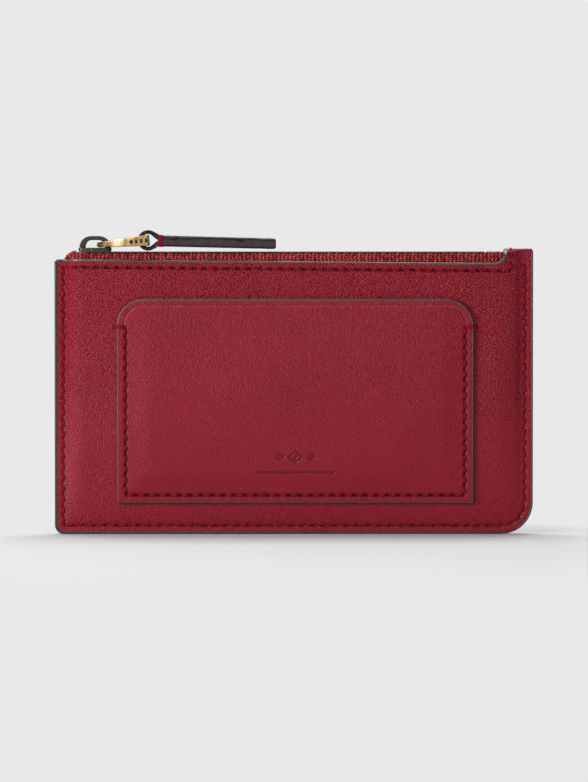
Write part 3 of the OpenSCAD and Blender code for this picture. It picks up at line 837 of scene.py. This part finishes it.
def make_pocket():
    crease = []
    for c in (-0.36, -0.24, -0.12, 0, 0.12, 0.24, 0.36):
        line = dense(pocket_outline(CREASE + c), 0.4)
        crease.append(line[line[:, 1] > LINE_END - 1])
    extra = crease + [along_rows(POCKET_ROWS), grid(np.arange(-11, 12, 0.16), np.arange(15.8, 23, 0.16))]
    points, tris, rim = fill(pocket_outline(COAT), 0.62, extra, cell=0.1)
    x, z = points.T
    face = pocket_face(x, z, POCKET_HOLES)
    behind = pocket_face(x, z) + PRESSED * ornament(x, z) - LEATHER
    sheet = closed_sheet(points, tris, rim, xyz(x, -face, z), xyz(x, -np.minimum(behind, face - 0.5), z))
    ob = new_object("pocket_leather", *sheet)
    # Painted shade in the holes and motif, and a painted highlight along the crease.
    paint_shade_and_highlight(ob, POCKET_HOLES, ornament, crease_painted_highlight)
    finish_piece(ob, POCKET_LEATHER, "pouch", "leather", "card_pocket")

    path = dense(pocket_outline(COAT), 0.5)
    x, z = path.T
    profiles = [bead_profile(LEATHER, 0.26, 0.06 + 0.2 * u) for u in smooth((z - LINE_END) / POCKET_CORNER)]
    middle = xyz(x, LEATHER / 2 - pocket_face(x, z), z)
    bead = sweep(middle, leftward(path, closed=True), (0, 1, 0), profiles, closed=True)
    add_piece("pocket_edge_coat", bead, EDGE_PAINT, "pouch", "edge_paint", "pocket_edge_paint")


# ---- stitching

def stitch_mesh(a, b, up, radius=THREAD_R, rise=0.06, sink=0.55, sides=9, rings=11, seed=0):
    """One stitch of two-ply thread between holes a and b, arched along up."""
    a, b, up = (np.asarray(v, float) for v in (a, b, up))
    length = np.linalg.norm(b - a)
    along = (b - a) / length
    up = up - along * up.dot(along)
    up /= np.linalg.norm(up)
    side = np.cross(along, up)
    t = np.linspace(0, 1, rings)[:, None]
    away = abs(2 * t - 1)
    center = a + (b - a) * t + up * (radius * 0.55 + rise * (1 - away ** 2) - sink * away ** 5)
    turn = np.linspace(0, 2 * math.pi, sides, endpoint=False)
    twist = t * length * 2.6 + seed
    r = radius * (1 - 0.3 * away ** 6) * (1 + 0.14 * np.cos(2 * turn - 2 * twist))
    return rings_mesh(center[:, None] + r[..., None] * (np.outer(np.cos(turn), side) + np.outer(np.sin(turn), up)))


def surface_stitches(rows, face, side, radius=THREAD_R):
    """Stitches on the surface y = side * face(x, z)."""
    out = []
    e = 0.6
    for k, (a, b) in enumerate(rows):
        mid = (a + b) / 2
        h = face(*np.stack([a, b, mid - (e, 0), mid + (e, 0), mid - (0, e), mid + (0, e)]).T)
        up = unit(np.array([-(h[3] - h[2]) / (2 * e), side, -(h[5] - h[4]) / (2 * e)]))
        out.append(stitch_mesh((a[0], side * h[0], a[1]), (b[0], side * h[1], b[1]), up, radius, seed=1.7 * k))
    return out


def fold_stitches():
    """The last of the zip's stitches, over the top of the bridge."""
    start = ZIP_ROWS[-1][1][1] + GAP / 2
    up = np.concatenate([np.linspace(start, BRIDGE_Z - 0.4, 30), np.linspace(BRIDGE_Z - 0.38, BRIDGE_Z, 20)])
    y = front_wall.half(np.full(len(up), ZIP_END_X), up)
    line = np.concatenate([np.stack([-y, up], 1), np.stack([y, up], 1)[-2::-1]])
    length = lengths_along(line)
    count = max(2, round(length[-1] / STITCH))
    out = []
    for k in range(count):
        ends = [(k + t) / count * length[-1] for t in (0.15, 0.5, 0.85)]
        a, mid, b = [np.array([np.interp(d, length, line[:, i]) for i in (0, 1)]) for d in ends]
        facing = mid - (0, POUCH_H - 3)
        rise = max(0.0, np.linalg.norm(mid - (a + b) / 2) - 0.05)
        out.append(stitch_mesh((ZIP_END_X, *a), (ZIP_END_X, *b), (0, *facing), rise=rise, sink=0.3, seed=k))
    return out


def make_stitching():
    seam = [s for w in WALLS for s in surface_stitches(SEAM_ROWS, w.half, w.side, 0.21)]
    zip_line = [s for w in WALLS for s in surface_stitches(ZIP_ROWS, w.half, w.side)] + fold_stitches()
    pocket = surface_stitches(POCKET_ROWS, pocket_face, front_wall.side)
    for name, parts in (("seam", seam), ("zip", zip_line), ("pocket", pocket)):
        add_piece(name + "_threads", joined(parts), RED_THREAD, "pouch", "thread", name + "_stitching")


def make_bartacks():
    """Three short threads across each end of the pocket's opening, down onto the wall outside it."""
    parts = []
    for side in (-1, 1):
        inner_x, edge_x, outer_x = (POCKET_X + side * (POCKET_HALF + off)
                                    for off in (0.3 - POCKET_INSET, 0.12, 0.95))
        for k, dz in enumerate((-0.26, 0.0, 0.26)):
            z = LINE_END - 0.35 + dz
            a = (inner_x, -pocket_face(inner_x, z), z)
            b = (edge_x, -pocket_face(edge_x - side * 0.5, z) - 0.17, z)
            c = (outer_x, 0.1 - front_wall.half(outer_x, z), z)
            parts.append(stitch_mesh(a, b, (0, -1, 0), 0.18, 0.04, 0.15, rings=7, seed=k))
            parts.append(stitch_mesh(b, c, (side * 0.75, -0.66, 0), 0.18, 0.02, 0.12, rings=7, seed=k + 1))
    add_piece("bartack_threads", joined(parts), RED_THREAD, "pouch", "thread", "pocket_bartacks")


# ---- zip

def tape_bump(x):
    """Height, from 0 to 1, of the tape's cord between two teeth, and 1 beyond the chain."""
    last = TOOTH_X + TEETH * TOOTH_PITCH
    inside = smooth((x - TOOTH_X + 1.5) / 1) * smooth((last - x) / 1)
    return 1 - inside * (1 - (0.5 - 0.5 * np.cos(2 * math.pi * (x - TOOTH_X) / TOOTH_PITCH)) ** 1.3)


def tape_column(x, side):
    """Cross-section of a tape at x: a web against the wall, and a shelf that holds the teeth."""
    outer = float(front_wall.half(x, 71.0)) - LEATHER - 0.02
    web = max(outer - TAPE_T, 0.02)
    turn_in = 2.6
    top = CHAIN_Z - 0.05 + 0.6 * tape_bump(x)
    if x < TAPE_LEFT + turn_in:
        top -= turn_in - math.sqrt(max(turn_in ** 2 - (TAPE_LEFT + turn_in - x) ** 2, 0))
    if x > BRIDGE_X + 0.2:
        top = max(top - (x - BRIDGE_X - 0.2) ** 2 * 4, POUCH_H - 0.1)
    lip = TAPE_EDGE if outer > TAPE_EDGE + 0.6 else web
    middle = (TAPE_FOOT + top) / 2
    ring = [(outer, TAPE_FOOT), (outer, middle), (outer, top - 1.5), (outer, top - 0.75),
            (outer - 0.12, top - 0.3), (outer - 0.3, top - 0.08)]
    if lip < web - 0.05:
        ring += [(outer - 0.6, top), (lip + 0.3, top), (lip, top - 0.25), (lip + 0.1, top - 0.6)]
    else:
        ring += [(web + 0.04, top - 0.1), (web + 0.01, top - 0.2), (web + 0.01, top - 0.4), (web, top - 0.6)]
    ring += [(web, top - 0.75), (web, top - 1.5), (web, middle), (web, TAPE_FOOT)]
    return [(x, side * y, z) for y, z in ring]


def twisted_cord(path, radius, pitch):
    """Two strands twisted round each other along a path."""
    along = unit(np.gradient(path, axis=0))
    side = unit(np.cross(along, (0, 1, 0)))
    other = np.cross(along, side)
    parts = []
    for phase in (0, math.pi):
        turn = (2 * math.pi * lengths_along(path) / pitch + phase)[:, None]
        center = path + (side * np.cos(turn) + other * np.sin(turn)) * radius * 0.45
        parts.append(sweep(center, side, other, oval(radius * 0.62, radius * 0.62, 8)))
    return parts


def make_tapes():
    turn = np.radians(np.linspace(95, 190, 40))
    for wall in WALLS:
        columns = [tape_column(float(x), wall.side) for x in np.arange(TAPE_LEFT, TAPE_RIGHT + 0.01, 0.17)]
        x = TAPE_LEFT + 3.15 + 3.1 * np.cos(turn)
        y = wall.side * (0.5 + 0.75 * smooth((x - TAPE_LEFT) / 3))
        cord = twisted_cord(xyz(x, y, CHAIN_Z - 2.3 + 2.75 * np.sin(turn)), 0.5, 1.7)
        add_piece("tape_" + wall.name, joined([rings_mesh(columns)] + cord),
                  RED_TAPE, "pouch", "tape", "zip_tape_" + wall.name)


def edges_over(bm, degrees):
    return [e for e in bm.edges if len(e.link_faces) == 2 and e.calc_face_angle() > math.radians(degrees)]


def bevelled_copy(node_name, name, width):
    """The CAD node's own shape with its outer edges rounded, as a new piece."""
    ob = linked(name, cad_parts[node_name].data.copy())
    with edited(ob.data) as bm:
        bmesh.ops.remove_doubles(bm, verts=bm.verts, dist=1e-6)
        bmesh.ops.dissolve_limit(bm, angle_limit=math.radians(1.5), verts=bm.verts, edges=bm.edges)
        outer = [e for e in edges_over(bm, 40) if e.is_convex]
        bmesh.ops.bevel(bm, geom=outer, offset=width * MM, segments=3, profile=0.6, affect="EDGES",
                        clamp_overlap=True)
        bmesh.ops.triangulate(bm, faces=[f for f in bm.faces if len(f.verts) > 4])
        for e in edges_over(bm, 35):
            e.smooth = False
    return ob


def softened_copy(node_name, name, passes):
    """The CAD node's own shape, remeshed evenly and smoothed as cast metal is, as a new piece."""
    ob = linked(name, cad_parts[node_name].data.copy())
    remesh = ob.modifiers.new("remesh", "REMESH")
    remesh.mode = "VOXEL"
    remesh.voxel_size = 0.11 * MM
    soften = ob.modifiers.new("soften", "SMOOTH")
    soften.factor, soften.iterations = 0.5, passes
    ob.data = bpy.data.meshes.new_from_object(ob.evaluated_get(bpy.context.evaluated_depsgraph_get()))
    ob.modifiers.clear()
    for f in ob.data.polygons:
        f.use_smooth = True
    return ob


def make_metal():
    for cad, name, copy, amount, *facts in (
            ("teeth_front", "tooth_row_front", bevelled_copy, 0.1, ANTIQUE, "pouch", "antique_brass"),
            ("teeth_back", "tooth_row_back", bevelled_copy, 0.1, ANTIQUE, "pouch", "antique_brass"),
            ("top_stop_front", "upper_stop_front", bevelled_copy, 0.12, ANTIQUE, "pouch", "antique_brass"),
            ("top_stop_back", "upper_stop_back", bevelled_copy, 0.12, ANTIQUE, "pouch", "antique_brass"),
            ("bottom_stop", "lower_stop", bevelled_copy, 0.2, NICKEL, "pouch", "antique_brass"),
            ("slider_body", "slider_case", bevelled_copy, 0.16, GUNMETAL, "slider", "dark_metal"),
            ("slider_lug", "slider_arch", softened_copy, 14, GUNMETAL, "slider", "dark_metal"),
            ("puller_link", "brass_link", softened_copy, 22, BRASS, "link", "brass")):
        finish_piece(copy(cad, name, amount), *facts, cad)


BOX_FACES = [[0, 1, 3, 2], [4, 6, 7, 5], [0, 4, 5, 1], [2, 3, 7, 6], [0, 2, 6, 4], [1, 5, 7, 3]]


def make_trim():
    """Worn brass edges on both sides of the slider: two plate edges and a cross stripe."""
    x0, z1, y1 = body_low.x, body_high.z, body_high.y
    strips = (((0.9, 3.3), (-0.34, -0.12)), ((0.9, 3.3), (-1.3, -1.12)), ((3.4, 3.8), (-1.5, -0.05)))
    parts = [([(x0 + x, side * y, z1 + z) for x in xs for y in (y1 - 0.3, y1 + 0.02) for z in zs], BOX_FACES)
             for side in (-1, 1) for xs, zs in strips]
    add_piece("slider_trim", joined(parts), WORN_BRASS, "slider", "brass")


def make_inlays():
    """Dark ovals sunk into both sides of the link."""
    c, s = math.cos(LINK_ANGLE), math.sin(LINK_ANGLE)
    pivot_x, pivot_z = RING_X - LINK_L * c, RING_Z - LINK_L * s
    parts = []
    for side in (-1, 1):
        for k in range(4):
            u, v = (oval(0.42, 0.62, 16) + (8.6 + k * 1.35, 0)).T
            x, z = pivot_x + u * c - v * s, pivot_z + u * s + v * c
            parts.append(rings_mesh([xyz(x, side * (link_high.y + off), z) for off in (0.004, -0.1)]))
    add_piece("link_inlays", joined(parts), INLAY, "link", "brass")


# ---- strap

def strap_sag(x):
    """How far the strap hangs below its loop's middle at x."""
    return 0.14 + 0.78 * (x - RING_X - RING_R) / (strap_high.x - RING_X - RING_R)


def loop_path():
    """Middle of the strip that makes the loop, from the binding round and back."""
    r = RING_R - PLY_RING / 2
    upper_z, neck = 0.62, 3.0
    leave = math.degrees(math.acos(r / math.hypot(neck, upper_z)) + math.atan2(upper_z, neck))
    ends = np.array([[4.0, upper_z - 0.02], [neck, upper_z]])
    path = np.concatenate([ends, arc(0, 0, r, leave, 360 - leave, 44), ends[::-1] * (1, -1)])
    return dense(path, 0.25, closed=False)


def three_layers(w):
    """Side profile of a strip of three layers, with a rounded ridge of paint on the edge of each."""
    right = [(w - 0.3, 1.0)]
    for middle in (0.66, 0.0, -0.66):
        right += [(w - 0.2 * (1 - math.cos(a)) ** 0.8, middle + 0.32 * math.sin(a))
                  for a in np.radians((72, 45, 15, -15, -45, -72))]
    right += [(w - 0.3, -1.0)]
    return right + [(-y, -s) for y, s in right]


def add_strap(name, rings, inset, *nodes):
    """Leather through rings, with painted edges, inset wide, and a painted tip."""
    ob = add_piece(name, rings_mesh(rings), STRAP_LEATHER, "strap", "strap_leather", *nodes)
    ob.data.materials.append(STRAP_EDGE)
    for f in ob.data.polygons:
        if abs(f.center.y) > (STRAP_HALF_W - inset) * MM or f.normal.x > 0.8:
            f.material_index = 1


def make_loop():
    path = loop_path()
    thick = PLY_RING / 2 * (1 + 0.3 * smooth((path[:, 0] - 0.9) / 1.6))
    profile = three_layers(STRAP_HALF_W - 0.05)
    rings = [[(RING_X + p[0] + n[0] * s * t, y, RING_Z + p[1] + n[1] * s * t) for y, s in profile]
             for p, n, t in zip(path, left_of(path), thick)]
    add_strap("strap_loop", rings, 0.35, "pull_strap")


def make_strap():
    start, tip, round_l = RING_X + RING_R + 0.15, strap_high.x, 0.7
    turn = np.radians(np.arange(0, 360, 12))
    up, out = (signed_power(v(turn), 0.42) for v in (np.sin, np.cos))
    rounding = tip - round_l + round_l * np.sin(np.radians(np.arange(0, 91, 15)))
    rings = []
    for x in (*np.arange(start, tip - round_l, 0.4), *rounding):
        u = (x - start) / (tip - start)
        half_t = 1.5 - 0.07 * u + 0.03 * noise.noise(Vector((x * 0.5, 3.1, 0)))
        if x > tip - round_l:
            half_t -= 0.5 * (1 - math.sqrt(max(1 - ((x - tip + round_l) / round_l) ** 2, 0)))
        tuck = 0.05 + 0.2 * (1 - smooth((u - 0.12) / 0.3)) + groove(u - 0.72, 0.12, 0.06)
        y = out * (STRAP_HALF_W - tuck * np.maximum(up + 0.2, 0))
        rings.append(xyz(x, y, RING_Z - strap_sag(x) + half_t * up))
    add_strap("strap_body", rings, 0.3)


def make_binding():
    """Four turns of thread round the strap behind its loop."""
    turns, per_turn, pitch = 4, 36, 0.29
    x0 = RING_X + RING_R + 0.05
    t = np.linspace(0, turns, turns * per_turn + 1)
    c, s = np.cos(t * 2 * math.pi), np.sin(t * 2 * math.pi)
    path = xyz(x0 + pitch * t, (STRAP_HALF_W + 0.1) * signed_power(c, 0.28),
               RING_Z - strap_sag(x0) + 1.5 * signed_power(s, 0.28))
    thread = sweep(path, xyz(0, c, s), (1, 0, 0), oval(0.15, 0.16, 8))
    add_piece("strap_threads", thread, RED_THREAD, "strap", "thread", "strap_binding")


# ---- camera, light and floor

VIEW_W = 157.5            # width of the view at the object
VIEW_Z = 38.3             # height in the middle of the view
CAMERA_FAR = 1300.0
CAMERA_TILT = math.radians(2)
FLAT = 0.814              # brightness of the backdrop
FLOOR_GLOW = 0.085


def make_camera():
    cam = bpy.data.cameras.new("camera")
    cam.sensor_fit = "HORIZONTAL"
    cam.sensor_width = 36
    cam.lens = 36 * CAMERA_FAR / VIEW_W
    cam.clip_start, cam.clip_end = 0.05, 50
    ob = linked("camera", cam)
    height = VIEW_Z + CAMERA_FAR * math.sin(CAMERA_TILT)
    ob.location = Vector((0, -CAMERA_FAR * math.cos(CAMERA_TILT), height)) * MM
    ob.rotation_euler = (math.pi / 2 - CAMERA_TILT, 0, 0)
    bpy.context.scene.camera = ob


def area_light(name, place, target_z, size, power):
    light = bpy.data.lights.new(name, "AREA")
    light.shape = "RECTANGLE"
    light.size, light.size_y = size[0] * MM, size[1] * MM
    light.energy = power
    ob = linked(name, light)
    ob.location = Vector(place) * MM
    ob.rotation_euler = (Vector((0, 0, target_z)) - Vector(place)).to_track_quat("-Z", "Y").to_euler()
    ob.visible_camera = False


def floor_material():
    """Pale sweep: it takes shadows round the pouch and is evenly bright further out."""
    beside, behind, before = 34 * MM, 50 * MM, 200 * MM   # reach of the shadow-taking part
    look = Look("floor")
    look.shaded(Base_Color=rgba(0.47), Roughness=1.0, Specular_IOR_Level=0.0, Emission_Color=rgba(1.0),
                Emission_Strength=FLOOR_GLOW)
    aside = look.math("SUBTRACT", look.math("ABSOLUTE", look.x), (HALF_W - 6) * MM)
    aside = look.math("MAXIMUM", look.math("MULTIPLY", aside, 1 / beside), 0.0)
    along = look.math("MAXIMUM", look.math("MULTIPLY", look.y, 1 / behind),
                      look.math("MULTIPLY", look.y, -1 / before))
    squares = [look.math("MULTIPLY", v, v) for v in (aside, along)]
    away = look.fade(look.math("SQRT", look.math("ADD", *squares)), 0.3, 1.0)
    even = look.node("Emission", {"Color": rgba(FLAT), "Strength": 1.0})[0]
    mix = look.node("MixShader", {0: away, 1: look.shader.outputs[0], 2: even})[0]
    look.feed(look.tree.nodes["Material Output"].inputs["Surface"], mix)
    return look.material


def make_floor():
    """A floor that turns up into a wall behind the object, beyond the camera's distance."""
    back, turn_r, top, reach = 1600.0, 700.0, 5300.0, 7000.0
    rise = np.radians(np.arange(10, 91, 10))
    y = np.concatenate([[-reach, back], back + turn_r * np.sin(rise), [back + turn_r]])
    z = np.concatenate([[0, 0], turn_r * (1 - np.cos(rise)), [top]])
    n = len(y)
    mesh = bpy.data.meshes.new("floor")
    verts = np.concatenate([xyz(x, y, z) for x in (-reach, reach)]) * MM
    mesh.from_pydata(verts.tolist(), [], [[i, i + 1, n + i + 1, n + i] for i in range(n - 1)])
    for f in mesh.polygons:
        f.use_smooth = True
    floor = linked("floor", mesh)
    floor.data.materials.append(floor_material())


def make_studio():
    scene = bpy.context.scene
    scene.view_settings.view_transform = "Standard"
    world = bpy.data.worlds.new("world")
    scene.world = world
    world.use_nodes = True
    background = world.node_tree.nodes["Background"]
    background.inputs[0].default_value = rgba(1.0)
    background.inputs[1].default_value = 0.17
    make_floor()
    area_light("key", (-520, -420, 200), 35, (300, 300), 3.9)
    area_light("glint", (-420, -950, 750), 35, (170, 170), 2.2)
    area_light("top", (-60, 420, 1500), 40, (1300, 700), 24.0)
    area_light("fill", (-200, -1500, 260), 40, (900, 900), 2.15)


make_camera()
make_studio()
make_shell()
make_seam_bead()
make_window_bead()
make_pocket()
make_stitching()
make_bartacks()
make_tapes()
make_metal()
make_trim()
make_loop()
make_strap()
make_binding()
make_inlays()
make_linings()
